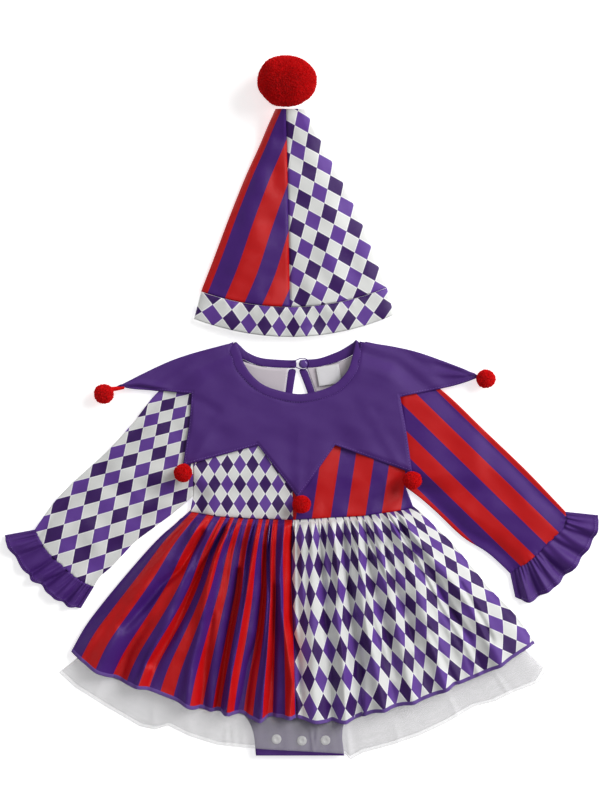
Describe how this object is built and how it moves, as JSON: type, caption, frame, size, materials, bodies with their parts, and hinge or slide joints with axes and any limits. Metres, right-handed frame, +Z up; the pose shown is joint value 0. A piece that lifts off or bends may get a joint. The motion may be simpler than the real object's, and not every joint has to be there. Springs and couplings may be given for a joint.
{
  "type": "costume",
  "caption": "Baby's clown costume laid flat: romper dress with pointed jester collar, gathered skirt over a net petticoat, frilled cuffs, and a matching cone hat with a pompom",
  "frame": {"origin": "middle of the footprint of the dress and hat together, on the surface they lie on", "axes": "X to the wearer's left (the right of the picture), Y from hem to hat tip, Z up from the surface"},
  "size_m": [0.593, 0.704, 0.0502],
  "materials": {
    "diamond_print": "smooth knit printed with a harlequin of purple diamonds on white",
    "striped_print": "satin printed with red and purple stripes",
    "purple_satin": "plain purple satin with a soft sheen",
    "white_net": "sheer white net",
    "red_pile": "dense clipped pile",
    "white_plastic": "gloss",
    "purple_button": "gloss",
    "label_tape": "woven tape, blank"
  },
  "bodies": {
    "root": {"bodice_back_left": "diamond_print", "bodice_back_right": "striped_print", "bodice_front_left": "diamond_print", "bodice_front_right": "striped_print", "button_loop": "purple_satin", "collar_back_left": "purple_satin", "collar_back_right": "purple_satin", "collar_front": "purple_satin", "cuff_ruffle_left": "purple_satin", "cuff_ruffle_right": "purple_satin", "hat_band": "diamond_print", "hat_half_left": "striped_print", "hat_half_right": "diamond_print", "hat_pompom": "red_pile", "keyhole_binding": "purple_satin", "neck_binding": "purple_satin", "neck_button": "purple_button", "petticoat_back": "white_net", "petticoat_front": "white_net", "pompom_centre": "red_pile", "pompom_lower_left": "red_pile", "pompom_lower_right": "red_pile", "pompom_shoulder_left": "red_pile", "pompom_shoulder_right": "red_pile", "romper_back": "purple_satin", "romper_front": "purple_satin", "size_label": "label_tape", "skirt_back_left": "striped_print", "skirt_back_right": "diamond_print", "skirt_front_left": "striped_print", "skirt_front_right": "diamond_print", "sleeve_left": "diamond_print", "sleeve_right": "striped_print", "snap_1": "white_plastic", "snap_2": "white_plastic", "snap_3": "white_plastic"}
  },
  "joints": []
}
